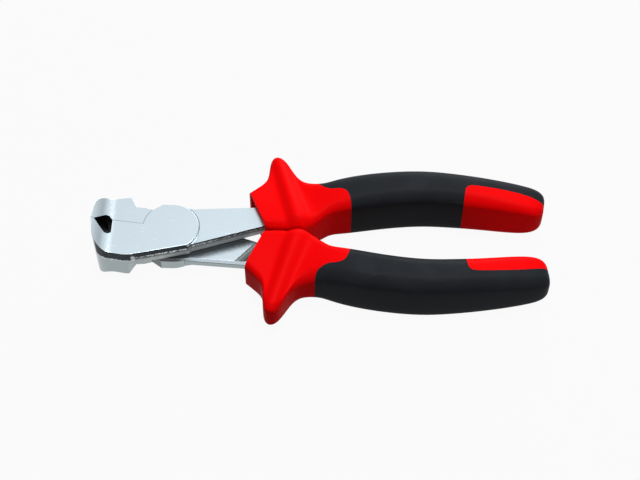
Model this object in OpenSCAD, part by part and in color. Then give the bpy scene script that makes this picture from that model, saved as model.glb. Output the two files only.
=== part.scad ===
// End cutting nippers with lap-joint steel levers and two-material grips.
// Built around the pivot: X runs from the jaws to the handle ends, Z along the pivot.
// The front lever lies above the middle plane and the back lever is the same forging
// turned half round the X axis.

/* [Head] */
// Distance from the pivot to the cutting edges
jaw_reach = 28; // [25:0.5:32]
// Depth of each jaw, from the cutting line to its outer side
jaw_depth = 12; // [11:0.5:14]
// Length of the cutting edges, across the jaws
edge_w = 22.6; // [19:0.2:26]
// Thickness of the lap joint
joint_t = 12.4; // [11:0.2:14]
// Diameter of the round boss raised on each lever
boss_d = 18.8; // [17:0.2:20]
// Diameter of the rivet that holds the levers together
rivet_d = 7; // [5:0.5:9]

/* [Arms] */
// Thickness of each arm where the two cross
arm_t = 4.7; // [4:0.1:5.4]
// Width of each arm where it enters its grip
arm_w = 7.2; // [6:0.2:9]
// Width of the tang inside the grip, at its far end
tang_w = 5; // [4:0.2:6]
// Length of tang left short of the handle end
tang_stop = 14; // [10:1:30]

/* [Grips] */
// Distance from the pivot to the handle ends
handle_reach = 132; // [118:1:150]
// Distance from the tool's axis to the grip's centre line, at its widest
grip_bow = 18.8; // [17:0.2:22]
// Width of each grip, seen from the front
grip_w = 14.4; // [13:0.2:16]
// Thickness of each grip, front to back
grip_t = 22.6; // [19:0.2:26]
// Distance from the tool's axis to the tip of each thumb guard
guard_reach = 33; // [29:0.5:38]
// Thickness of the soft cover over the hard core
cover_t = 1.6; // [1:0.1:2.4]
// Thickness of the collar's wall round the arm
collar_wall = 1.8; // [1.4:0.1:2.4]

/* [Clearances] */
// Gap between the two levers where they slide on each other
slide_gap = 0.12; // [0.08:0.01:0.2]
// Radial gap between the rivet and the back lever's bore
pivot_gap = 0.04; // [0.02:0.01:0.08]
// Gap between a moulded piece and what it is moulded on
bond_gap = 0.05; // [0.02:0.01:0.1]

/* [Hidden] */
$fn = 96;
overrun = 1;

// Places derived from the sizes above
half_joint = joint_t / 2;
half_edge = edge_w / 2;
boss_r = boss_d / 2;
lug_r = boss_r + jaw_depth / 15;
jaw_clear_r = lug_r + slide_gap;
lug_notch_angle = 136;
lug_notch = 0.99 * lug_r * [cos(lug_notch_angle), sin(lug_notch_angle)];
lug_corner = [-0.98 * sqrt(lug_r * lug_r - boss_r * boss_r), boss_r];
half_gap = slide_gap / 2;
part_shift = [-(handle_reach - jaw_reach) / 2, 0, max(half_edge, grip_t / 2)];

// Jaw outline, as shares of jaw_reach along X and jaw_depth across
nose_share = [-0.754, -0.425];
nose_r = 0.51 * jaw_depth;
belly_share = [-0.554, 0];
belly_r = jaw_depth;
nose_angles = [190, 257];
belly_angles = [257, 272];
front_belly_end = 279;
heel_share = [-0.466, -0.675];
tail_share = [-0.364, -0.655];
edge_land = 0.039 * jaw_reach;

// Wire relief behind the cutting edges, on the same shares
relief_front_share = [-0.838, -0.308];
relief_mid_share = [-0.798, -0.310];
relief_back_share = [-0.756, -0.250];
relief_top_share = [-0.755, 0.19];

// Flare of the jaws towards the cutting edges
flare_angle = 45;
flare_r = 5.2 / 28 * jaw_reach;
flare_rise = half_edge - half_joint;

// Arm: the lower edge leaves the boss here and slopes to the grip
arm_root_angle = -51;
arm_root = boss_r * [cos(arm_root_angle), sin(arm_root_angle)];
mouth_x = 0.204 * handle_reach;
arm_top_share = 0.98;
arm_waist = [0.75 * boss_r, 0.93 * boss_r];
arm_low_start = 0.93 * arm_root;
arm_drop = 0.09 * grip_bow;
scoop_r = 0.96 * arm_t;
scoop_lift = 0.03 * scoop_r;

// Grip centre line
line_start_x = 0.227 * handle_reach;
line_peak_x = 0.674 * handle_reach;
line_start_y = 0.375 * grip_bow;
line_end_y = 0.75 * grip_bow;
front_power = 1.6;
back_power = 1.4;
function centre_y(x) =
    x < line_peak_x
    ? grip_bow - (grip_bow - line_start_y) * pow((line_peak_x - x) / (line_peak_x - line_start_x), front_power)
    : grip_bow - (grip_bow - line_end_y) * pow((x - line_peak_x) / (handle_reach - line_peak_x), back_power);

// Points of an arc of radius r about c
function arc_points(c, r, a, steps = 10) =
    [for (i = [0 : steps]) c + r * [cos(a[0] + (a[1] - a[0]) * i / steps), sin(a[0] + (a[1] - a[0]) * i / steps)]];
function jaw_point(share) = [share[0] * jaw_reach, share[1] * jaw_depth];

// Lower jaw's outline from the cutting edge round its outside, up to the given belly angle
function jaw_outside(last_angle) = concat(
    [[-jaw_reach, -half_gap]],
    arc_points(jaw_point(nose_share), nose_r, nose_angles),
    arc_points(jaw_point(belly_share), belly_r, [belly_angles[0], last_angle], 6));

// Wire relief edge of the lower jaw, from its back corner to the cutting land
function relief_edge() =
    [jaw_point(relief_mid_share), jaw_point(relief_front_share), [-jaw_reach + edge_land, -half_gap]];

// Full-depth half of the lower jaw, in the layer where the other lever's boss lies
module jaw_back_outline() {
    difference() {
        polygon(concat(
            jaw_outside(belly_angles[1]),
            [jaw_point(heel_share), jaw_point(tail_share), [lug_notch[0], -lug_notch[1]], [0, -half_gap]],
            [[relief_top_share[0] * jaw_reach, -relief_top_share[1] * jaw_depth - slide_gap]],
            relief_edge()));
        circle(r = jaw_clear_r);
    }
}

// Lever outline in its own layer, from the jaw to the raised boss
module head_outline() {
    intersection() {
        union() {
            polygon(concat(
                jaw_outside(front_belly_end),
                [last_belly - [0, overrun], [0, -jaw_depth], [0, 0]],
                [jaw_point(relief_top_share), jaw_point(relief_back_share)],
                relief_edge()));
            circle(r = boss_r);
            intersection() {
                circle(r = lug_r);
                polygon([[0, 0], [0, boss_r], lug_corner, lug_notch, 2 * lug_notch, [-2 * lug_r, 0]]);
            }
        }
        polygon([
            last_belly, last_belly + 1.5 * (arm_root - last_belly), [2 * boss_r, jaw_depth],
            [-jaw_reach - overrun, jaw_depth], [-jaw_reach - overrun, -jaw_depth - overrun],
            last_belly - [0, jaw_depth]]);
    }
}
last_belly = jaw_point(belly_share) + belly_r * [cos(front_belly_end), sin(front_belly_end)];

// Side profile of the jaws, flared from the joint faces to the cutting edges
module flare_half() {
    land_x = -jaw_reach + 0.02 * jaw_reach;
    slope_x = land_x + flare_rise - flare_r * (1 - cos(flare_angle));
    start_x = slope_x + flare_r * sin(flare_angle);
    difference() {
        translate([-jaw_reach - overrun, 0]) square([start_x + jaw_reach + overrun, half_edge]);
        polygon([
            [land_x, half_edge], [slope_x, half_joint + flare_r * (1 - cos(flare_angle))],
            [start_x, half_joint + flare_r], [start_x, half_edge + flare_r], [land_x, half_edge + overrun]]);
        translate([start_x, half_joint + flare_r]) circle(r = flare_r);
    }
    translate([start_x - overrun, 0]) square([boss_r + overrun - start_x, half_joint]);
}
module flare_body() {
    rotate([90, 0, 0]) linear_extrude(4 * jaw_depth, center = true) {
        flare_half();
        mirror([0, 1]) flare_half();
    }
}

// Arm in its own layer, and the thicker tang that the grip is moulded on
arm_end_x = mouth_x + 0.06 * handle_reach;
arm_end_y = centre_y(arm_end_x) - arm_drop;
arm_end_low = [arm_end_x, arm_end_y - arm_w / 2];
arm_end_top = [arm_end_x, arm_end_y + arm_w / 2];
tang_end_x = handle_reach - tang_stop;
tang_steps = 9;
function tang_half(x) =
    arm_w / 2 + (tang_w - arm_w) / 2 * (x - arm_end_x) / (tang_end_x - arm_end_x);
function tang_place(k) = arm_end_x + (tang_end_x - arm_end_x) * k / tang_steps;
// Corner of the tang at step k, on its outer side (1) or inner side (-1)
function tang_corner(k, side, gap) =
    let (x = tang_place(k), drop = arm_drop * pow(1 - k / tang_steps, 2))
    [x + (k == tang_steps ? gap : 0), centre_y(x) - drop + side * (tang_half(x) + gap)];
module tang_outline() {
    polygon(concat(
        [for (k = [0 : tang_steps]) tang_corner(k, -1, 0)],
        [for (k = [tang_steps : -1 : 0]) tang_corner(k, 1, 0)]));
}
module arm_outline(gap = 0) {
    polygon([
        arm_low_start - [0, gap], arm_end_low - [0, gap], arm_end_top + [0, gap],
        arm_waist + [0, gap], [boss_r / 2, boss_r * arm_top_share + gap], [0, 0]]);
}

// Thick end of the arm: full thickness past a scooped step on its inner face
scoop_from = [0.169 * handle_reach, 0.585 * grip_bow];
scoop_to = [0.207 * handle_reach, 0.277 * grip_bow];
scoop_angle = atan2(scoop_to[1] - scoop_from[1], scoop_to[0] - scoop_from[0]);
module thick_arm() {
    difference() {
        translate([0, 0, -arm_t]) linear_extrude(1.5 * arm_t) intersection() {
            arm_outline();
            translate(scoop_from) rotate(scoop_angle) translate([-grip_bow, 0]) square(2 * [grip_bow, grip_bow]);
        }
        translate([scoop_from[0], scoop_from[1], half_gap - scoop_r + scoop_lift]) rotate([0, 90, scoop_angle])
            translate([0, 0, -grip_bow]) cylinder(r = scoop_r, h = 3 * grip_bow);
    }
}

module lever() {
    difference() {
        union() {
            intersection() {
                union() {
                    translate([0, 0, half_gap]) linear_extrude(half_edge) head_outline();
                    translate([0, 0, -half_edge]) linear_extrude(half_edge + 2 * half_gap) jaw_back_outline();
                }
                flare_body();
            }
            translate([0, 0, half_gap]) linear_extrude(arm_t - half_gap) arm_outline();
            thick_arm();
            translate([0, 0, -arm_t]) linear_extrude(2 * arm_t) tang_outline();
        }
        translate([0, 0, -overrun]) cylinder(d = rivet_d, h = half_joint + 2 * overrun);
    }
}

module front_lever() {
    color("silver") translate(part_shift) lever();
}

module back_lever() {
    color("silver") translate(part_shift) rotate([180, 0, 0]) difference() {
        lever();
        translate([0, 0, -overrun]) cylinder(r = rivet_d / 2 + pivot_gap, h = half_joint + 2 * overrun);
    }
}

module pivot_rivet() {
    color("gainsboro") translate(part_shift) translate([0, 0, -half_joint]) cylinder(d = rivet_d, h = joint_t);
}

// Grip sections: each has an outer point, an inner point, a half thickness, an outer corner and an
// inner corner. The collar's are shares of handle_reach along X, guard_reach across, grip_t and grip_w.
collar_shares = [
    [0.199, 0.475, 0.250, 0.020, 0.355, 0.20, 0.20],
    [0.226, 0.575, 0.271, 0.016, 0.366, 0.20, 0.21],
    [0.2480, 0.665, 0.290, 0.014, 0.373, 0.20, 0.22],
    [0.2500, 0.81, 0.301, 0.015, 0.379, 0.22, 0.24],
    [0.2518, 0.945, 0.3120, 0.017, 0.386, 0.25, 0.27],
    [0.2620, 0.993, 0.3315, 0.007, 0.492, 0.28, 0.37],
    [0.2765, 0.998, 0.3520, 0.008, 0.486, 0.30, 0.37],
    [0.2905, 0.975, 0.3720, 0.052, 0.394, 0.31, 0.28],
    [0.3030, 0.885, 0.3805, 0.079, 0.384, 0.33, 0.25],
    [0.3175, 0.775, 0.3870, 0.100, 0.382, 0.35, 0.24],
    [0.3350, 0.690, 0.3935, 0.120, 0.384, 0.37, 0.24],
    [0.3570, 0.648, 0.4010, 0.139, 0.392, 0.39, 0.24]];
// The body's are the place along handle_reach, then shares of grip_w, grip_t, grip_w and grip_w.
body_shares = [
    [0.408, 0.98, 0.413, 0.39, 0.25], [0.435, 1.00, 0.443, 0.39, 0.29], [0.465, 1.01, 0.475, 0.39, 0.33],
    [0.510, 1.015, 0.495, 0.39, 0.37], [0.560, 1.01, 0.5, 0.39, 0.39], [0.620, 0.995, 0.5, 0.39, 0.39],
    [0.680, 0.98, 0.497, 0.39, 0.39], [0.740, 0.965, 0.488, 0.39, 0.39], [0.800, 0.95, 0.470, 0.38, 0.38],
    [0.850, 0.94, 0.445, 0.37, 0.34], [0.895, 0.93, 0.415, 0.36, 0.29], [0.930, 0.91, 0.385, 0.35, 0.25],
    [0.957, 0.88, 0.352, 0.32, 0.23], [0.978, 0.82, 0.310, 0.30, 0.23], [0.992, 0.67, 0.248, 0.24, 0.20],
    [0.998, 0.44, 0.155, 0.15, 0.14]];
ring_sides = 24;
guard_taper = 0.38;

// One closed section between an outer and an inner point; a wide one thins towards its outer edge
function section(outer, inner, half_t, outer_corner, inner_corner, inset) =
    let (mid = (outer + inner) / 2, reach = norm(outer - inner) / 2, dir = (outer - inner) / (2 * reach),
         taper = guard_taper * max(0, 1 - grip_w / (2 * reach)))
    [for (i = [0 : ring_sides - 1])
        let (a = 360 * (i + 0.5) / ring_sides,
             corner = cos(a) > 0 ? outer_corner : inner_corner, round_r = max(corner - inset, corner / 3),
             along = sign(cos(a)) * (reach - inset - round_r) + round_r * cos(a),
             up = sign(sin(a)) * (half_t - inset - round_r) + round_r * sin(a),
             place = mid + dir * along)
        [place[0], place[1], up * (1 - taper * (1 + along / reach))]];
function collar_section(s, inset) = section(
    [s[0] * handle_reach, s[1] * guard_reach], [s[2] * handle_reach, s[3] * guard_reach],
    s[4] * grip_t, s[5] * grip_w, s[6] * grip_w, inset);
function body_section(s, inset) =
    let (x = s[0] * (handle_reach - inset), step = 0.001 * handle_reach,
         slope = (centre_y(x + step) - centre_y(x - step)) / (2 * step),
         across = [-slope, 1] / norm([slope, 1]), middle = [x, centre_y(x)],
         half_w = s[1] * grip_w / 2, kept = min(inset, 0.5 * half_w))
    section(middle + half_w * across, middle - half_w * across, s[2] * grip_t, s[3] * grip_w, s[4] * grip_w, kept);
function grip_rings(inset) = concat(
    [for (s = collar_shares) collar_section(s, inset)],
    [for (s = body_shares) body_section(s, inset)]);

// Solid skinned over closed rings of equal size
module skin(rings) {
    count = len(rings);
    sides = len(rings[0]);
    polyhedron(
        points = [for (ring = rings) for (p = ring) p],
        faces = concat(
            [[for (i = [0 : sides - 1]) i]],
            [for (k = [0 : count - 2]) for (i = [0 : sides - 1]) let (j = (i + 1) % sides)
                each [[k * sides + i, (k + 1) * sides + j, k * sides + j],
                      [k * sides + i, (k + 1) * sides + i, (k + 1) * sides + j]]],
            [[for (i = [sides - 1 : -1 : 0]) (count - 1) * sides + i]]));
}

module grip_form(inset = 0) {
    skin(grip_rings(inset));
}

// Soft zone seen from the front: each point is a place along handle_reach and an offset
// from the centre line in shares of grip_w
zone_shares = [
    [0.383, 1.8], [0.383, 0.50], [0.393, 0.30], [0.417, 0.11], [0.445, 0.06], [0.464, -0.05],
    [0.4745, -0.33], [0.4775, -0.60], [0.4775, -1.5], [0.7685, -1.5], [0.779, -0.15], [0.788, -0.02],
    [0.803, 0.03], [0.89, 0.045], [0.95, 0.02], [1.00, -0.05], [1.03, -0.08], [1.03, 1.8]];
function zone_point(s) = let (x = s[0] * handle_reach) [x, centre_y(min(x, handle_reach)) + s[1] * grip_w];
module soft_zone(gap = 0) {
    translate([0, 0, -grip_t]) linear_extrude(2 * grip_t) offset(delta = -gap)
        polygon([for (s = zone_shares) zone_point(s)]);
}

// Hollow in the collar's mouth, round the arm
module mouth_hollow() {
    rings = grip_rings(collar_wall);
    outside = [for (i = [0 : ring_sides - 1]) 2 * rings[0][i] - rings[1][i]];
    skin([outside, rings[1], rings[2]]);
}

// Socket that fits the tang, one convex length after another
module tang_socket() {
    translate([0, 0, -arm_t - bond_gap]) linear_extrude(2 * (arm_t + bond_gap)) {
        for (k = [0 : tang_steps - 1]) hull() polygon([
            tang_corner(k, -1, bond_gap), tang_corner(k + 1, -1, bond_gap),
            tang_corner(k + 1, 1, bond_gap), tang_corner(k, 1, bond_gap)]);
        arm_outline(bond_gap);
    }
}

module grip_core() {
    difference() {
        union() {
            difference() {
                grip_form();
                soft_zone();
            }
            intersection() {
                grip_form(cover_t);
                soft_zone(-cover_t);
            }
        }
        tang_socket();
        mouth_hollow();
    }
}

module grip_cover() {
    difference() {
        intersection() {
            grip_form();
            soft_zone(bond_gap);
        }
        grip_form(cover_t - bond_gap);
        tang_socket();
    }
}

module upper_grip_core() {
    color("red") translate(part_shift) grip_core();
}

module upper_grip_cover() {
    color("darkslategray") translate(part_shift) grip_cover();
}

module lower_grip_core() {
    color("red") translate(part_shift) rotate([180, 0, 0]) grip_core();
}

module lower_grip_cover() {
    color("darkslategray") translate(part_shift) rotate([180, 0, 0]) grip_cover();
}

front_lever();
back_lever();
pivot_rivet();
upper_grip_core();
upper_grip_cover();
lower_grip_core();
lower_grip_cover();
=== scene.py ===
import math

import bpy
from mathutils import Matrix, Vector


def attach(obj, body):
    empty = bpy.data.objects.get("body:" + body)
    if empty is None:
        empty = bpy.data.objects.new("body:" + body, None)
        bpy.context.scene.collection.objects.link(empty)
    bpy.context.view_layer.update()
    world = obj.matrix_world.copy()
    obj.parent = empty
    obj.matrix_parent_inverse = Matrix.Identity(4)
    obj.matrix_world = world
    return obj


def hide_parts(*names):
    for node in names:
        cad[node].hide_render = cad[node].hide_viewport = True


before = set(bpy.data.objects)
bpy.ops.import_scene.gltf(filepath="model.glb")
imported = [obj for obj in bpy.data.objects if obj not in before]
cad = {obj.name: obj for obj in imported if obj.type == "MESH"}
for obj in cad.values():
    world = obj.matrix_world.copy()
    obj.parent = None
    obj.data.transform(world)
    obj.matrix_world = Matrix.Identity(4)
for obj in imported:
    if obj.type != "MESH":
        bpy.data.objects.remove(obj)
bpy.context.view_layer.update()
print("frame loaded with", len(cad), "parts")

# the rivet's axis stands here, with the lap joint's middle plane at its z
pivot = Vector((-0.052, 0.0, 0.0113))


# the camera stands where the photograph was taken from
viewpoint = {"aim": (0.00002, -0.00002, 0.0113), "elevation": 56.3, "turn": 1.57, "distance": 0.5169,
             "lens": 82.1, "sensor": 36.0, "nearest": 0.01}

def addCamera(spot):
    rise, turn = math.radians(spot["elevation"]), math.radians(spot["turn"])
    towards = Vector((math.sin(turn) * math.cos(rise), -math.cos(turn) * math.cos(rise), math.sin(rise)))
    bpy.ops.object.camera_add(location=Vector(spot["aim"]) + towards * spot["distance"])
    camera = bpy.context.object
    camera.rotation_euler = (-towards).to_track_quat("-Z", "Y").to_euler()
    camera.data.lens = spot["lens"]
    camera.data.sensor_width = spot["sensor"]
    camera.data.clip_start = spot["nearest"]
    bpy.context.scene.camera = camera

addCamera(viewpoint)


# small helpers for modelling by hand
def deselectAll():
    if bpy.context.object and bpy.context.object.mode != "OBJECT":
        bpy.ops.object.mode_set(mode="OBJECT")
    bpy.ops.object.select_all(action="DESELECT")

def pick(piece):
    deselectAll()
    piece.select_set(True)
    bpy.context.view_layer.objects.active = piece

def applyModifier(piece, kind, **settings):
    pick(piece)
    modifier = piece.modifiers.new(kind.lower(), kind)
    for key, value in settings.items():
        setattr(modifier, key, value)
    bpy.ops.object.modifier_apply(modifier=modifier.name)

def selectWhere(piece, what, test):
    # selects vertices, edges or faces of the edited piece whose item passes the test
    bpy.ops.object.mode_set(mode="OBJECT")
    for group in (piece.data.vertices, piece.data.edges, piece.data.polygons):
        group.foreach_set("select", [False] * len(group))
    for item in getattr(piece.data, what):
        item.select = test(item)
    bpy.ops.object.mode_set(mode="EDIT")


# shared shader effects, each made once as a node group
def startGroup(name, inputs, outputs):
    group = bpy.data.node_groups.new(name, "ShaderNodeTree")
    for label, kind, value in inputs:
        socket = group.interface.new_socket(label, in_out="INPUT", socket_type=kind)
        if value is not None:
            socket.default_value = value
    for label, kind in outputs:
        group.interface.new_socket(label, in_out="OUTPUT", socket_type=kind)
    return group, group.nodes.new("NodeGroupInput"), group.nodes.new("NodeGroupOutput")

def addNode(tree, kind, links=None, **settings):
    node = tree.nodes.new(kind)
    for key, value in settings.items():
        setattr(node, key, value)
    for socket, value in (links or {}).items():
        if isinstance(value, bpy.types.NodeSocket):
            tree.links.new(value, node.inputs[socket])
        else:
            node.inputs[socket].default_value = value
    return node

def math1(tree, operation, *values, clamp=False):
    return addNode(tree, "ShaderNodeMath", dict(enumerate(values)), operation=operation, use_clamp=clamp).outputs[0]

def mixColour(tree, factor, first, second):
    node = addNode(tree, "ShaderNodeMix", {0: factor, 6: first, 7: second}, data_type="RGBA")
    return node.outputs[2]

def ramp(tree, value, low, high, start=0.0, end=1.0):
    links = {0: value, 1: low, 2: high, 3: start, 4: end}
    return addNode(tree, "ShaderNodeMapRange", links, interpolation_type="SMOOTHSTEP").outputs[0]

def makeGrain():
    # fine even grain, for moulded skins and ground steel
    group, given, out = startGroup(
        "fineGrain",
        [("Vector", "NodeSocketVector", None), ("Size", "NodeSocketFloat", 0.0004),
         ("Detail", "NodeSocketFloat", 3.0)],
        [("Height", "NodeSocketFloat"), ("Blotch", "NodeSocketFloat")])
    scale = math1(group, "DIVIDE", 1.0, given.outputs["Size"])
    grain = addNode(group, "ShaderNodeTexNoise", {"Vector": given.outputs["Vector"], "Scale": scale,
                                                  "Detail": given.outputs["Detail"]})
    broad = math1(group, "MULTIPLY", scale, 0.03)
    blotch = addNode(group, "ShaderNodeTexNoise", {"Vector": given.outputs["Vector"], "Scale": broad, "Detail": 4.0})
    group.links.new(grain.outputs[0], out.inputs["Height"])
    group.links.new(blotch.outputs[0], out.inputs["Blotch"])
    return group

def makeScratches():
    # thin scratches in two directions, broken up so that few of them run far
    group, given, out = startGroup(
        "fineScratches",
        [("Vector", "NodeSocketVector", None), ("Spacing", "NodeSocketFloat", 0.0006),
         ("Amount", "NodeSocketFloat", 0.5)],
        [("Mask", "NodeSocketFloat")])
    scale = math1(group, "DIVIDE", 1.0, given.outputs["Spacing"])
    found = []
    for turn, stretch in ((0.35, 0.02), (-0.9, 0.035)):
        turned = addNode(group, "ShaderNodeMapping", {"Vector": given.outputs["Vector"], "Rotation": (0.0, 0.0, turn),
                                                      "Scale": (stretch, 1.0, 1.0)})
        lines = addNode(group, "ShaderNodeTexNoise", {"Vector": turned.outputs[0], "Scale": scale, "Detail": 2.0})
        found.append(ramp(group, lines.outputs[0], 0.66, 0.74))
    both = math1(group, "MAXIMUM", *found)
    broad = math1(group, "MULTIPLY", scale, 0.12)
    breaks = addNode(group, "ShaderNodeTexNoise", {"Vector": given.outputs["Vector"], "Scale": broad})
    kept = math1(group, "MULTIPLY", both, ramp(group, breaks.outputs[0], 0.45, 0.6))
    group.links.new(math1(group, "MULTIPLY", kept, given.outputs["Amount"]), out.inputs["Mask"])
    return group

# borders of a forged lever's zones, each from where it starts to where it is full. Places are metres from the pivot in
# the lever's own frame: x along the tool, height out of its own joint face. Slopes are shares of the skin's normal.
zoneBorders = {
    "upright": (0.35, 0.2), "outward": (0.2, 0.4), "inward": (0.25, 0.1), "jawEnd": (-0.9, -0.75),
    "bossFront": (0.0056, 0.0060), "bossWall": (0.0096, 0.0095), "bossHeight": (0.0046, 0.0048), "bossSide": (0.5, 0.3),
    "wornRun": (0.0, 0.010, 0.0017, 0.0023), "wornEdge": (0.00005, -0.00005), "wornStart": (0.001, 0.003),
    "blockShadowSide": (0.0060, 0.0065), "blockShadowEnd": (0.0095, 0.0090), "blockShadowTop": (0.0019, 0.0018), "blockShadowFoot": (0.0, 0.00005),
    "blockShadowFade": (0.0095, 0.0015), "blockShadowHeel": (-0.0080, -0.0060),
    "heel": (-0.0136, -0.0132), "arm": (0.0045, 0.0075), "band": (-0.0001, 0.0002), "streak": (0.0004, 0.0001),
    "bandFoot": (-0.0138, -0.0130, 0.0021, 0.0037), "lineFoot": (-0.0138, -0.0130, 0.0020, 0.0034),
    "line": (0.00045, 0.00015), "lineFade": (-0.0140, -0.0128, 0.6, 1.0), "lineBreaks": (0.40, 0.52),
    "heelMark": (0.0009, 0.0003), "heelMarkTop": (0.0050, 0.0040), "heelMarkFoot": (0.0012, 0.0022),
    "paleAndLit": (0.0034, 0.0010), "paleAndLitArm": (0.004, 0.008, 0.5, 1.0),
    "tilted": (0.28, 0.4), "level": (0.96, 0.9), "rimJaw": (-0.0198, -0.0192), "rimHeight": (0.0038, 0.0042),
    "rimHeel": (-0.0136, -0.0140), "foot": (0.00012, 0.00008), "footSide": (-0.001, 0.0),
    "footHeight": (0.0003, 0.0001), "footFront": (0.0055, 0.0060), "brink": (0.00035, 0.00025),
    "brinkSide": (0.0005, -0.0005), "edgeLine": (0.00022, 0.00012), "edgeStart": (0.004, 0.006),
    "reliefStart": (-0.0271, -0.0269), "reliefEnd": (-0.0204, -0.0206), "reliefDepth": (0.0047, 0.0045),
    "scoopStart": (-0.0001, 0.0001), "scoopEnd": (0.0070, 0.0066), "scoopHeight": (0.0003, 0.0002), "bent": (0.2, 0.35),
    "firstScore": (0.00045, 0.00015), "secondScore": (0.0005, 0.0001),
    "slopeStart": (-0.0276, -0.0247), "slopeEnd": (-0.0231, -0.0247),
    "filletStart": (-0.0229, -0.0216), "filletEnd": (-0.0188, -0.0203), "bossShade": (-0.001, 0.001, -0.3, 0.0),
    "paintedShadow": (0.0046, 0.0010), "paintedShadowHeight": (0.0003, 0.0002), "flat": (0.8, 0.9),
    "notchWall": (-0.25, -0.5), "notchSide": (0.05, 0.2), "notchStart": (-0.0098, -0.0094),
    "notchEnd": (-0.0020, -0.0024)}

# single places and amounts of the same zones
zonePlaces = {"boss": 0.0094, "bossFoot": 0.0047, "brink": 0.0059, "heel": -0.0130, "streak": 0.0028,
              "scoop": ((0.0223, 0.0096), (0.757, 0.653)), "beside": ((0.0055, 0.0068), (0.3167, 0.9486)),
              "scores": (0.0008, 0.0031), "waver": 0.0018, "bandDrop": -0.0003, "lineLift": 0.0001, "wallDrawn": 0.0010,
              "footShift": 0.00006, "streakAmount": 0.7, "heelAmount": 0.7, "slopeShade": 0.30, "filletGlow": 0.02}

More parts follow.
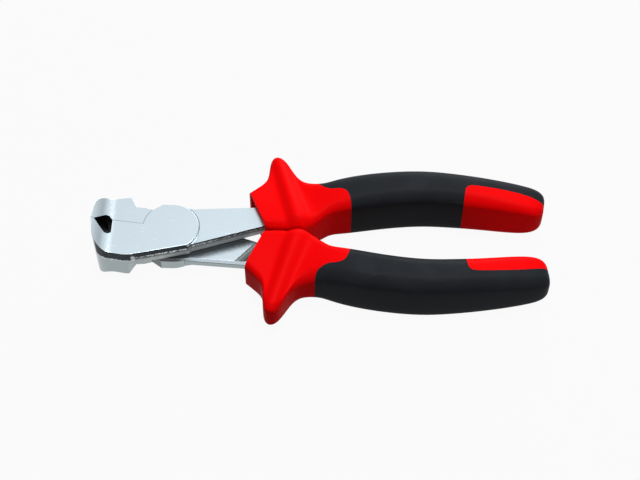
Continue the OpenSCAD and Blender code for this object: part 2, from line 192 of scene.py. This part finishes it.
def makeZones(borders, places):
    # the side towards -y is as forged, with a dark band under the face and a bright ragged line below it
    zones = ("Wall", "Band", "Rough", "Lift", "Line", "EdgeShade", "Relief", "Step", "Score", "Flare", "PaintedShadows", "Notch")
    group, given, out = startGroup(
        "leverZones", [(label, "NodeSocketVector", None) for label in ("Vector", "Normal", "Pivot", "Turn")],
        [(label, "NodeSocketFloat") for label in zones])

    def vectors(operation, first, second):
        return addNode(group, "ShaderNodeVectorMath", {0: first, 1: second}, operation=operation).outputs[0]

    def parts(vector):
        return addNode(group, "ShaderNodeSeparateXYZ", {0: vector}).outputs

    def noise(scale, detail):
        links = {"Vector": given.outputs["Vector"], "Scale": scale, "Detail": detail}
        return addNode(group, "ShaderNodeTexNoise", links).outputs[0]

    def within(value, name):
        return ramp(group, value, *borders[name])

    def minus(first, second):
        return math1(group, "SUBTRACT", first, second)

    def size(value):
        return math1(group, "ABSOLUTE", value)

    def combined(operation, terms):
        total = terms[0]
        for term in terms[1:]:
            total = math1(group, operation, total, term)
        return total

    def times(*factors):
        return combined("MULTIPLY", factors)

    def plus(*terms):
        return combined("ADD", terms)

    def most(*terms):
        return combined("MAXIMUM", terms)

    def across(line):
        # distance beyond a slanting line on the face
        (placeX, placeY), (slopeX, slopeY) = line
        return plus(times(minus(x, placeX), slopeX), times(minus(y, placeY), slopeY))

    local = vectors("SUBTRACT", given.outputs["Vector"], given.outputs["Pivot"])
    x, y, height = parts(vectors("MULTIPLY", local, given.outputs["Turn"]))
    nx, ny, nz = parts(vectors("MULTIPLY", given.outputs["Normal"], given.outputs["Turn"]))
    radius = math1(group, "SQRT", plus(times(x, x), times(y, y)))
    slant = size(nz)
    upright, outward = within(slant, "upright"), within(ny, "outward")
    waver = times(minus(noise(1300.0, 3.0), 0.5), places["waver"])

    # the round boss stands out of the arm's face with a plain turned wall, and the arm's outer edge is polished
    turned = times(within(x, "bossFront"), within(radius, "bossWall"), within(height, "bossHeight"),
                   within(slant, "bossSide"))
    worn = within(x, "wornRun")
    polished = times(outward, within(minus(height, worn), "wornEdge"), within(x, "wornStart"))
    # painted shade along the top of the outer side near the boss, under the other lever's edge
    shadedBlockTop = times(outward, within(y, "blockShadowSide"), within(x, "blockShadowEnd"), within(height, "blockShadowTop"),
                   within(height, "blockShadowFoot"))
    wall = times(upright, within(nx, "jawEnd"), minus(1.0, most(turned, polished, shadedBlockTop)))
    inner = times(wall, within(ny, "inward"))

    # the dark band and the bright line keep one height on the jaw and another from the heel on
    behind = within(plus(x, waver), "heel")
    onArm = within(x, "arm")
    uneven = plus(height, waver)
    above = plus(minus(uneven, within(x, "bandFoot")), times(onArm, places["bandDrop"]))
    streak = times(within(size(minus(uneven, places["streak"])), "streak"), behind, minus(1.0, onArm))
    band = times(inner, most(within(above, "band"), times(streak, places["streakAmount"])))
    lineHeight = plus(within(x, "lineFoot"), times(onArm, places["lineLift"]))
    near = times(within(size(minus(uneven, lineHeight)), "line"), within(x, "lineFade"),
                 within(noise(900.0, 2.0), "lineBreaks"))
    heel = times(within(size(minus(x, places["heel"])), "heelMark"), within(height, "heelMarkTop"),
                 within(height, "heelMarkFoot"), places["heelAmount"])

    # painted shade: dark lines along the outlines of the outer faces, a painted contact shadow on the arm's face at the
    # foot of the boss on its +y side, widening towards +y, and dark lines near the top of the boss's wall and along the
    # polished strip's lower border
    outlines = most(within(size(ny), "tilted"), times(within(nx, "tilted"), within(x, "rimJaw")))
    paintedEdgeShade = times(within(slant, "tilted"), within(slant, "level"), outlines,
                    most(within(height, "rimHeight"), within(x, "rimHeel")))
    drawn = times(most(math1(group, "DIVIDE", y, radius), 0.0), places["wallDrawn"])
    beyondWall = minus(minus(radius, places["boss"]), drawn)
    foot = times(within(size(minus(beyondWall, places["footShift"])), "foot"), within(y, "footSide"),
                 within(size(minus(height, places["bossFoot"])), "footHeight"), within(x, "footFront"))
    brink = times(turned, within(size(minus(height, places["brink"])), "brink"), within(y, "brinkSide"))
    edgeLine = times(within(size(minus(height, worn)), "edgeLine"), outward, within(x, "edgeStart"), upright)

    # wire relief between the jaws, and the scooped step where the arm thickens
    relief = times(upright, within(x, "reliefStart"), within(x, "reliefEnd"), within(size(y), "reliefDepth"))
    beyond = plus(across(places["scoop"]), times(waver, 0.3))
    scoop = times(within(beyond, "scoopStart"), within(beyond, "scoopEnd"), within(height, "scoopHeight"),
                  within(slant, "bent"))
    score = most(*[within(size(minus(beyond, place)), name)
                   for place, name in zip(places["scores"], ("firstScore", "secondScore"))])

    # the flare's slope is darker towards its fillet, partly as ground in another direction and partly painted shade;
    # the fillet gets a painted highlight, and the boss's wall gets painted shade on its -y side
    slope = times(within(x, "slopeStart"), within(x, "slopeEnd"))
    filletHighlight = times(within(x, "filletStart"), within(x, "filletEnd"))
    flare = plus(minus(1.0, times(slope, places["slopeShade"])), times(filletHighlight, places["filletGlow"]),
                 times(turned, within(y, "bossShade")))

    # painted shadow on the sliding face beside the other lever's arm and at the top of the outer side under that
    # lever's edge, and painted shade in the lug's notch
    beside = plus(across(places["beside"]), times(waver, 0.5))
    paintedShadow = times(within(beside, "paintedShadow"), within(size(height), "paintedShadowHeight"), within(slant, "flat"))
    blockShadow = times(shadedBlockTop, within(x, "blockShadowFade"), within(x, "blockShadowHeel"), upright)
    notch = times(wall, within(nx, "notchWall"), within(ny, "notchSide"), within(x, "notchStart"),
                  within(x, "notchEnd"))

    found = {"Wall": wall, "Band": band, "Rough": times(inner, behind), "Notch": notch, "Step": scoop, "Score": score,
             "Lift": times(within(height, "paleAndLit"), within(x, "paleAndLitArm")), "Line": times(most(near, heel), inner),
             "EdgeShade": most(paintedEdgeShade, foot, brink, edgeLine), "Relief": relief, "Flare": flare, "PaintedShadows": most(paintedShadow, blockShadow)}
    for label in zones:
        group.links.new(found[label], out.inputs[label])
    return group

fineGrain, fineScratches, leverZones = makeGrain(), makeScratches(), makeZones(zoneBorders, zonePlaces)

def useGroup(tree, group, **values):
    return addNode(tree, "ShaderNodeGroup", values, node_tree=group)

def startMaterial(name):
    material = bpy.data.materials.new(name)
    material.use_nodes = True
    tree = material.node_tree
    shader = next(n for n in tree.nodes if n.type == "BSDF_PRINCIPLED")
    where = addNode(tree, "ShaderNodeTexCoord").outputs["Object"]
    return material, tree, shader, where

def addBump(tree, shader, height, strength, distance):
    bump = addNode(tree, "ShaderNodeBump", {"Height": height, "Strength": strength, "Distance": distance})
    tree.links.new(bump.outputs[0], shader.inputs["Normal"])


# ground steel with forged sides
# of these colours, rim is painted shade for edges, the boss's foot and the lug's notch, the colour for the marks beside
# the other lever's arm is painted shadow, and worn is partly painted light near the joint face
steelLook = {"ground": (0.552, 0.638, 0.694, 1.0), "shade": (0.518, 0.607, 0.668, 1.0),
             "trimmed": (0.32, 0.37, 0.38, 1.0), "forged": (0.030, 0.036, 0.040, 1.0),
             "rough": (0.115, 0.127, 0.131, 1.0), "worn": (0.66, 0.70, 0.71, 1.0), "line": (0.88, 0.92, 0.94, 1.0),
             "rim": (0.09, 0.105, 0.115, 1.0), "relief": (0.006, 0.006, 0.007, 1.0),
             "paintedShadow": (0.045, 0.050, 0.052, 1.0), "groundRough": 0.22, "forgedRough": 0.55, "grain": 0.0005,
             "scratchSpacing": 0.0005, "scratches": 0.8, "glint": 0.15, "speck": 2600.0, "bump": 0.6,
             "bumpDepth": 0.00025}

def makeSteel(name, turn, look):
    material, tree, shader, where = startMaterial(name)
    normal = addNode(tree, "ShaderNodeNewGeometry").outputs["Normal"]
    zones = useGroup(tree, leverZones, Vector=where, Normal=normal, Pivot=pivot, Turn=turn).outputs
    grain = useGroup(tree, fineGrain, Vector=where, Size=look["grain"])
    marks = useGroup(tree, fineScratches, Vector=where, Spacing=look["scratchSpacing"], Amount=look["scratches"])
    speck = addNode(tree, "ShaderNodeTexNoise",
                    {"Vector": where, "Scale": look["speck"], "Detail": 5.0, "Roughness": 0.7}).outputs[0]
    ground = mixColour(tree, grain.outputs["Blotch"], look["shade"], look["ground"])
    ground = mixColour(tree, math1(tree, "MULTIPLY", marks.outputs[0], look["glint"]), ground, look["line"])
    # Flare darkens the flare's slope, partly as grinding and partly as painted shade, adds a painted highlight on the
    # fillet and painted shade on the boss's -y side
    ground = addNode(tree, "ShaderNodeVectorMath", {0: ground, 1: zones["Flare"]}, operation="MULTIPLY").outputs[0]
    # painted shadow beside and under the other lever's arm
    ground = mixColour(tree, zones["PaintedShadows"], ground, look["paintedShadow"])
    colour = mixColour(tree, zones["Wall"], ground, look["trimmed"])
    # the rough side is paler towards the joint face, partly its ground finish and partly painted light against the
    # other lever's shade; the worn colour also gives the pale specks
    paleAndLit = math1(tree, "ADD", zones["Lift"], ramp(tree, speck, 0.40, 0.65, -0.05, 0.22), clamp=True)
    scale = mixColour(tree, paleAndLit, look["rough"], look["worn"])
    colour = mixColour(tree, zones["Rough"], colour, scale)
    dark = mixColour(tree, ramp(tree, speck, 0.60, 0.72), look["forged"], look["trimmed"])
    colour = mixColour(tree, zones["Band"], colour, dark)
    brokenLine = math1(tree, "MULTIPLY", zones["Line"], ramp(tree, speck, 0.42, 0.52))
    colour = mixColour(tree, brokenLine, colour, look["line"])
    brokenScore = math1(tree, "MULTIPLY", zones["Score"], ramp(tree, speck, 0.40, 0.60))
    colour = mixColour(tree, zones["Step"], colour, mixColour(tree, brokenScore, look["rough"], look["trimmed"]))
    # the rim colour paints shade along edges, at the boss's foot and in the lug's notch
    colour = mixColour(tree, math1(tree, "MAXIMUM", zones["EdgeShade"], zones["Notch"]), colour, look["rim"])
    colour = mixColour(tree, zones["Relief"], colour, look["relief"])
    tree.links.new(colour, shader.inputs["Base Color"])
    shader.inputs["Metallic"].default_value = 1.0
    forged = math1(tree, "MAXIMUM", zones["Rough"], zones["Band"])
    rough = math1(tree, "ADD", look["groundRough"], math1(tree, "MULTIPLY", grain.outputs["Height"], 0.08))
    rough = math1(tree, "ADD", rough, math1(tree, "MULTIPLY", forged, look["forgedRough"] - look["groundRough"]))
    tree.links.new(rough, shader.inputs["Roughness"])
    pits = math1(tree, "MULTIPLY", speck, math1(tree, "ADD", math1(tree, "MULTIPLY", forged, 0.8), 0.04))
    relief = math1(tree, "ADD", pits, math1(tree, "MULTIPLY", marks.outputs[0], -0.06))
    addBump(tree, shader, relief, look["bump"], look["bumpDepth"])
    return material

frontSteel = makeSteel("frontSteel", (1.0, 1.0, 1.0), steelLook)
backSteel = makeSteel("backSteel", (1.0, -1.0, -1.0), steelLook)


# glossy red moulding
redLook = {"colour": (0.96, 0.002, 0.003, 1.0), "deep": (0.86, 0.001, 0.002, 1.0), "rub": (0.97, 0.02, 0.02, 1.0),
           "rough": 0.42, "gloss": 0.02, "grain": 0.0007, "scratchSpacing": 0.0008, "scratches": 0.6, "glint": 0.25,
           "bump": 0.12, "bumpDepth": 0.00006}

def makeRed(name, look):
    material, tree, shader, where = startMaterial(name)
    grain = useGroup(tree, fineGrain, Vector=where, Size=look["grain"])
    marks = useGroup(tree, fineScratches, Vector=where, Spacing=look["scratchSpacing"], Amount=look["scratches"])
    colour = mixColour(tree, grain.outputs["Blotch"], look["deep"], look["colour"])
    colour = mixColour(tree, math1(tree, "MULTIPLY", marks.outputs[0], look["glint"]), colour, look["rub"])
    tree.links.new(colour, shader.inputs["Base Color"])
    rough = math1(tree, "ADD", look["rough"], math1(tree, "MULTIPLY", grain.outputs["Blotch"], 0.10))
    rough = math1(tree, "ADD", rough, math1(tree, "MULTIPLY", marks.outputs[0], 0.2))
    tree.links.new(rough, shader.inputs["Roughness"])
    shader.inputs["Specular IOR Level"].default_value = look["gloss"]
    addBump(tree, shader, grain.outputs["Height"], look["bump"], look["bumpDepth"])
    return material

redPlastic = makeRed("redPlastic", redLook)


# satin black soft moulding
blackLook = {"colour": (0.0165, 0.0185, 0.022, 1.0), "worn": (0.021, 0.0235, 0.028, 1.0),
             "rub": (0.09, 0.09, 0.10, 1.0), "rough": 0.42, "gloss": 0.03, "grain": 0.0003, "scratchSpacing": 0.0007,
             "scratches": 0.5, "glint": 0.3, "bump": 0.22, "bumpDepth": 0.00008}

def makeBlack(name, look):
    material, tree, shader, where = startMaterial(name)
    grain = useGroup(tree, fineGrain, Vector=where, Size=look["grain"], Detail=2.0)
    marks = useGroup(tree, fineScratches, Vector=where, Spacing=look["scratchSpacing"], Amount=look["scratches"])
    colour = mixColour(tree, ramp(tree, grain.outputs["Blotch"], 0.35, 0.7), look["colour"], look["worn"])
    colour = mixColour(tree, math1(tree, "MULTIPLY", marks.outputs[0], look["glint"]), colour, look["rub"])
    tree.links.new(colour, shader.inputs["Base Color"])
    rough = math1(tree, "ADD", look["rough"], math1(tree, "MULTIPLY", grain.outputs["Blotch"], 0.12))
    tree.links.new(rough, shader.inputs["Roughness"])
    shader.inputs["Specular IOR Level"].default_value = look["gloss"]
    addBump(tree, shader, grain.outputs["Height"], look["bump"], look["bumpDepth"])
    return material

blackSoft = makeBlack("blackSoft", blackLook)
print("materials made")


# steel levers: each CAD lever, merged, with its sharp edges broken
leverEdges = {"width": 0.00012, "steps": 2, "sharpest": 28.0, "smoothBelow": 40.0, "merge": 0.000002, "flatWithin": 0.6,
              "boreRadius": 0.0037, "lug": (0.0100, 0.0104), "seam": 0.0039, "seamEnd": -0.009, "ledge": 0.0003,
              "ledgeEnd": -0.013}
# the boss's outer wall: its radius, how far the arm's edge runs past it, and how that edge slants
bossWall = {"radius": 0.0094, "radiusWithin": 0.0001, "run": 0.0046, "side": 0.008, "faceWithin": 0.0002, "slant": 0.04}

def drawBossWall(piece, side, wall):
    # draws the wall out to meet the arm's edge at the joint face
    for vertex in piece.data.vertices:
        spot = (vertex.co - pivot) * side
        onFace = 0 < spot.x < wall["run"] and spot.y > wall["side"] and abs(spot.z) < wall["faceWithin"]
        if onFace and abs(math.hypot(spot.x, spot.y) - wall["radius"]) < wall["radiusWithin"]:
            vertex.co.y = pivot.y + (wall["radius"] - wall["slant"] * spot.x) * side.y

def keepsSharp(ends, edges):
    # edges of the bore, the parting line, the jaw's ledge and the lug's arc stay as they are
    spans = [math.hypot(end.x, end.y) for end in ends]
    low, high = edges["lug"]
    return (max(spans) < edges["boreRadius"]
            or all(abs(end.y) < edges["seam"] and end.x < edges["seamEnd"] for end in ends)
            or all(abs(end.z) < edges["ledge"] and end.x < edges["ledgeEnd"] for end in ends)
            or all(low < span < high and end.x < 0 for span, end in zip(spans, ends)))

def dressLever(node, name, body, material, side, edges):
    piece = bpy.data.objects.new(name, cad[node].data.copy())
    bpy.context.scene.collection.objects.link(piece)
    piece.data.materials.clear()
    piece.data.materials.append(material)
    pick(piece)
    bpy.ops.object.mode_set(mode="EDIT")
    bpy.ops.mesh.select_all(action="SELECT")
    bpy.ops.mesh.remove_doubles(threshold=edges["merge"])
    bpy.ops.mesh.dissolve_limited(angle_limit=math.radians(edges["flatWithin"]))
    bpy.ops.mesh.select_all(action="DESELECT")
    bpy.ops.mesh.select_mode(type="EDGE")
    bpy.ops.mesh.edges_select_sharp(sharpness=math.radians(edges["sharpest"]))
    bpy.ops.object.mode_set(mode="OBJECT")
    drawBossWall(piece, side, bossWall)
    points = piece.data.vertices
    for edge in piece.data.edges:
        if keepsSharp([points[k].co - pivot for k in edge.vertices], edges):
            edge.select = False
    for face in piece.data.polygons:
        face.select = False
    bpy.ops.object.mode_set(mode="EDIT")
    bpy.ops.mesh.bevel(offset=edges["width"], segments=edges["steps"], profile=0.5, clamp_overlap=False)
    bpy.ops.mesh.select_all(action="DESELECT")
    bpy.ops.mesh.edges_select_sharp(sharpness=math.radians(edges["smoothBelow"]))
    bpy.ops.mesh.mark_sharp()
    bpy.ops.object.mode_set(mode="OBJECT")
    bpy.ops.object.shade_smooth()
    applyModifier(piece, "WEIGHTED_NORMAL", keep_sharp=True, weight=100)  # the ground faces stay flat
    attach(piece, body)
    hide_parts(node)
    print(name, "has", len(piece.data.polygons), "faces")
    return piece

frontLever = dressLever("front_lever", "frontLever", "front half", frontSteel, Vector((1, 1, 1)), leverEdges)
backLever = dressLever("back_lever", "backLever", "back half", backSteel, Vector((1, -1, -1)), leverEdges)
cad["pivot_rivet"].data.materials.clear()
cad["pivot_rivet"].data.materials.append(frontSteel)


# grips: one form, skinned ring by ring along the handle, then divided into its red and black mouldings
grip = {"reach": 0.132, "bow": 0.0188, "width": 0.0144, "thick": 0.0226, "guard": 0.033, "guardTaper": 0.38,
        "lineStart": 0.227, "linePeak": 0.674, "startBow": 0.375, "endBow": 0.75, "startPower": 1.6, "endPower": 1.4,
        "wall": 0.0018, "mouthDepth": 0.006, "mouthSlant": 0.3, "rimCrease": 0.8, "ringPoints": 24, "levels": 2,
        "cutDepth": 0.02, "cornerCut": 0.22, "smoothBelow": 35.0}

# outer point, inner point, half thickness, outer corner and inner corner of each ring of the collar and guard
collarRings = [
    (0.199, 0.475, 0.250, 0.020, 0.355, 0.20, 0.20), (0.226, 0.575, 0.271, 0.016, 0.366, 0.20, 0.21),
    (0.2480, 0.665, 0.290, 0.014, 0.373, 0.20, 0.22), (0.2500, 0.81, 0.301, 0.015, 0.379, 0.22, 0.24),
    (0.2518, 0.945, 0.3120, 0.017, 0.386, 0.25, 0.27), (0.2620, 0.993, 0.3315, 0.007, 0.492, 0.28, 0.37),
    (0.2765, 0.998, 0.3520, 0.008, 0.486, 0.30, 0.37), (0.2905, 0.975, 0.3720, 0.052, 0.394, 0.31, 0.28),
    (0.3030, 0.885, 0.3805, 0.079, 0.384, 0.33, 0.25), (0.3175, 0.775, 0.3870, 0.100, 0.382, 0.35, 0.24),
    (0.3350, 0.690, 0.3935, 0.120, 0.384, 0.37, 0.24), (0.3570, 0.648, 0.4010, 0.139, 0.392, 0.39, 0.24)]
# place along the handle, width, half thickness, outer corner and inner corner of each ring of the body
bodyRings = [
    (0.408, 0.98, 0.413, 0.39, 0.25), (0.435, 1.00, 0.443, 0.39, 0.29), (0.465, 1.01, 0.475, 0.39, 0.33),
    (0.510, 1.015, 0.495, 0.39, 0.37), (0.560, 1.01, 0.5, 0.39, 0.39), (0.620, 0.995, 0.5, 0.39, 0.39),
    (0.680, 0.98, 0.497, 0.39, 0.39), (0.740, 0.965, 0.488, 0.39, 0.39), (0.800, 0.95, 0.470, 0.38, 0.38),
    (0.850, 0.94, 0.445, 0.37, 0.34), (0.895, 0.93, 0.415, 0.36, 0.29), (0.930, 0.91, 0.385, 0.35, 0.25),
    (0.957, 0.88, 0.352, 0.32, 0.23), (0.978, 0.82, 0.310, 0.30, 0.23), (0.992, 0.67, 0.248, 0.24, 0.20),
    (0.998, 0.44, 0.155, 0.15, 0.14)]
# border of the black moulding: place along the handle and distance from its centre line
softBorder = [
    (0.383, 1.8), (0.383, 0.50), (0.393, 0.30), (0.417, 0.11), (0.445, 0.06), (0.464, -0.05), (0.4745, -0.33),
    (0.4775, -0.60), (0.4775, -1.5), (0.7685, -1.5), (0.779, -0.15), (0.788, -0.02), (0.803, 0.03), (0.89, 0.045),
    (0.95, 0.02), (1.00, -0.05), (1.03, -0.08), (1.03, 1.8)]

def centreLine(x):
    top, start = grip["bow"], grip["lineStart"] * grip["reach"]
    peak = grip["linePeak"] * grip["reach"]
    if x < peak:
        return top - top * (1 - grip["startBow"]) * max(0.0, (peak - x) / (peak - start)) ** grip["startPower"]
    return top - top * (1 - grip["endBow"]) * ((x - peak) / (grip["reach"] - peak)) ** grip["endPower"]

def ringPoints(outer, inner, halfThick, corners, inset=0.0):
    middle, reach = (outer + inner) / 2, (outer - inner).length / 2
    across = (outer - inner).normalized()
    taper = grip["guardTaper"] * max(0.0, 1 - grip["width"] / (2 * reach))
    points = []
    for k in range(grip["ringPoints"]):
        angle = math.tau * (k + 0.5) / grip["ringPoints"]
        c, s = math.cos(angle), math.sin(angle)
        corner = corners[0] if c > 0 else corners[1]
        radius = max(corner - inset, corner / 3)
        along = math.copysign(reach - inset - radius, c) + radius * c
        rise = math.copysign(halfThick - inset - radius, s) + radius * s
        spot = middle + across * along
        points.append(pivot + Vector((spot.x, spot.y, rise * (1 - taper * (1 + along / reach)))))
    return points

def collarRing(row, inset=0.0):
    outerX, outerY, innerX, innerY, thick, *corners = row
    outer = Vector((outerX * grip["reach"], outerY * grip["guard"]))
    inner = Vector((innerX * grip["reach"], innerY * grip["guard"]))
    return ringPoints(outer, inner, thick * grip["thick"], [c * grip["width"] for c in corners], inset)

def bodyRing(row):
    place, width, thick, *corners = row
    x, step = place * grip["reach"], 0.0001
    slope = (centreLine(x + step) - centreLine(x - step)) / (2 * step)
    across = Vector((-slope, 1.0)).normalized() * (width * grip["width"] / 2)
    middle = Vector((x, centreLine(x)))
    return ringPoints(middle + across, middle - across, thick * grip["thick"], [c * grip["width"] for c in corners])

def nextRing(piece, points):
    # extrudes the selected ring once more and settles it on its section
    bpy.ops.mesh.extrude_region_move()
    bpy.ops.object.mode_set(mode="OBJECT")
    ring = [v for v in piece.data.vertices if v.select]
    for vertex, point in zip(ring, points):
        vertex.co = point
    bpy.ops.object.mode_set(mode="EDIT")

def makeGripForm(name):
    bpy.ops.mesh.primitive_circle_add(vertices=grip["ringPoints"], radius=grip["width"] / 2, fill_type="NOTHING")
    piece = bpy.context.object
    piece.name = piece.data.name = name
    first = collarRing(collarRings[0])
    for vertex, point in zip(piece.data.vertices, first):
        vertex.co = point
    bpy.ops.object.mode_set(mode="EDIT")
    bpy.ops.mesh.select_mode(type="VERT")
    bpy.ops.mesh.select_all(action="SELECT")
    for row in collarRings[1:]:
        nextRing(piece, collarRing(row))
    for row in bodyRings:
        nextRing(piece, bodyRing(row))
    bpy.ops.mesh.edge_face_add()
    # the mouth: its rim turns inwards and runs back along the wall to a floor
    count = grip["ringPoints"]
    selectWhere(piece, "vertices", lambda v: v.index < count)
    nextRing(piece, collarRing(collarRings[0], grip["wall"]))
    inward = Vector((grip["mouthDepth"], grip["mouthDepth"] * grip["mouthSlant"], 0.0))
    nextRing(piece, [p + inward for p in collarRing(collarRings[0], grip["wall"])])
    bpy.ops.mesh.edge_face_add()
    bpy.ops.mesh.select_all(action="SELECT")
    bpy.ops.mesh.normals_make_consistent(inside=False)
    # the mouth's rim stays crisp
    skinned = (len(collarRings) + len(bodyRings)) * count
    rim = set(range(count)) | set(range(skinned, skinned + count))
    selectWhere(piece, "edges",
                lambda e: all(k in rim for k in e.vertices) and abs(e.vertices[0] - e.vertices[1]) < count)
    bpy.ops.transform.edge_crease(value=grip["rimCrease"])
    bpy.ops.object.mode_set(mode="OBJECT")
    applyModifier(piece, "SUBSURF", levels=grip["levels"], render_levels=grip["levels"])
    return piece

gripForm = makeGripForm("gripForm")
print("grip form skinned:", len(gripForm.data.polygons), "faces")

def borderPoint(share):
    x = share[0] * grip["reach"]
    return pivot + Vector((x, centreLine(min(x, grip["reach"])) + share[1] * grip["width"], 0.0))

def rounded(points, rounds=3):
    # cuts the corners of a closed outline again and again, so that it curves
    cut = grip["cornerCut"]
    for _ in range(rounds):
        pairs = list(zip(points, points[1:] + points[:1]))
        points = [q for p, n in pairs for q in (p * (1 - cut) + n * cut, p * cut + n * (1 - cut))]
    return points

def makeBorderCutter(name):
    outline = rounded([borderPoint(s) for s in softBorder])
    bpy.ops.mesh.primitive_circle_add(vertices=len(outline), radius=grip["reach"] / 2, fill_type="NGON")
    piece = bpy.context.object
    piece.name = piece.data.name = name
    below = Vector((0.0, 0.0, -grip["cutDepth"]))
    for vertex, point in zip(piece.data.vertices, outline):
        vertex.co = point + below
    bpy.ops.object.mode_set(mode="EDIT")
    bpy.ops.mesh.select_all(action="SELECT")
    bpy.ops.mesh.extrude_region_move(TRANSFORM_OT_translate={"value": (0.0, 0.0, 2 * grip["cutDepth"])})
    bpy.ops.mesh.select_all(action="SELECT")
    bpy.ops.mesh.normals_make_consistent(inside=False)
    bpy.ops.object.mode_set(mode="OBJECT")
    return piece

def cutGrip(form, cutter, operation, name, material):
    pick(form)
    bpy.ops.object.duplicate()
    piece = bpy.context.object
    piece.name = piece.data.name = name
    applyModifier(piece, "BOOLEAN", operation=operation, object=cutter, solver="EXACT")
    piece.data.materials.clear()
    piece.data.materials.append(material)
    bpy.ops.object.shade_smooth_by_angle(angle=math.radians(grip["smoothBelow"]))
    return piece

borderCutter = makeBorderCutter("borderCutter")
upperRed = cutGrip(gripForm, borderCutter, "DIFFERENCE", "upperRedMoulding", redPlastic)
upperBlack = cutGrip(gripForm, borderCutter, "INTERSECT", "upperBlackMoulding", blackSoft)
for scrap in (gripForm, borderCutter):
    bpy.data.objects.remove(scrap)

def turnedCopy(source, name):
    # the lower grip is the upper one turned half round the tool's long axis
    pick(source)
    bpy.ops.object.duplicate()
    piece = bpy.context.object
    piece.name = piece.data.name = name
    bpy.ops.object.mode_set(mode="EDIT")
    bpy.ops.mesh.select_all(action="SELECT")
    bpy.ops.transform.rotate(value=math.pi, orient_axis="X", center_override=pivot)
    bpy.ops.object.mode_set(mode="OBJECT")
    return piece

lowerRed = turnedCopy(upperRed, "lowerRedMoulding")
lowerBlack = turnedCopy(upperBlack, "lowerBlackMoulding")

for piece, node, body, slot in (
        (upperRed, "upper_grip_core", "front half", "grip_red"),
        (upperBlack, "upper_grip_cover", "front half", "grip_black"),
        (lowerRed, "lower_grip_core", "back half", "grip_red"),
        (lowerBlack, "lower_grip_cover", "back half", "grip_black")):
    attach(piece, body)
    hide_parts(node)
print("grips made:", len(upperRed.data.polygons), "and", len(upperBlack.data.polygons), "faces")


# the floor, the world round it and the lamps
studio = {"floor": (0.33, 0.34, 0.35, 1.0), "floorSize": 6.0, "floorGlow": 0.94, "sky": (0.86, 0.91, 0.97, 1.0),
          "skyStrength": 0.06}

def behindWhite(tree, plain, white, share):
    # what the camera, gloss and glass see in place of a plain surface
    path = addNode(tree, "ShaderNodeLightPath")
    seen = math1(tree, "MAXIMUM", math1(tree, "MAXIMUM", path.outputs["Is Camera Ray"], path.outputs["Is Glossy Ray"]),
                 path.outputs["Is Transmission Ray"])
    seen = math1(tree, "MULTIPLY", seen, share)
    return addNode(tree, "ShaderNodeMixShader", {0: seen, 1: plain, 2: white}).outputs[0]

def makeFloor(look):
    bpy.ops.mesh.primitive_plane_add(size=look["floorSize"])
    floor = bpy.context.object
    floor.name = "floor"
    material = bpy.data.materials.new("paleFloor")
    material.use_nodes = True
    tree = material.node_tree
    tree.nodes.clear()
    plain = addNode(tree, "ShaderNodeBsdfDiffuse", {"Color": look["floor"]}).outputs[0]
    white = addNode(tree, "ShaderNodeEmission", {"Strength": 1.0}).outputs[0]
    addNode(tree, "ShaderNodeOutputMaterial", {"Surface": behindWhite(tree, plain, white, look["floorGlow"])})
    floor.data.materials.append(material)

def makeWorld(look):
    world = bpy.data.worlds.new("studioWorld")
    bpy.context.scene.world = world
    world.use_nodes = True
    tree = world.node_tree
    tree.nodes.clear()
    plain = addNode(tree, "ShaderNodeBackground", {"Color": look["sky"], "Strength": look["skyStrength"]}).outputs[0]
    white = addNode(tree, "ShaderNodeBackground", {"Color": (1.0, 1.0, 1.0, 1.0), "Strength": 1.0}).outputs[0]
    addNode(tree, "ShaderNodeOutputWorld", {"Surface": behindWhite(tree, plain, white, 1.0)})

lamps = {
    "backLamp": {"place": (0.25, 1.00, 0.42), "size": 0.50, "power": 6.0},
    "topLamp": {"place": (0.15, 0.07, 0.97), "size": 0.50, "power": 8.5},
}

def addLamps(table):
    for name, lamp in table.items():
        place = Vector(lamp["place"])
        bpy.ops.object.light_add(type="AREA", location=place)
        item = bpy.context.object
        item.name = name
        item.data.size = lamp["size"]
        item.data.energy = lamp["power"]
        item.rotation_euler = (pivot - place).to_track_quat("-Z", "Y").to_euler()

makeFloor(studio)
makeWorld(studio)
addLamps(lamps)
bpy.context.scene.view_settings.view_transform = "Standard"
print("studio lit")

deselectAll()
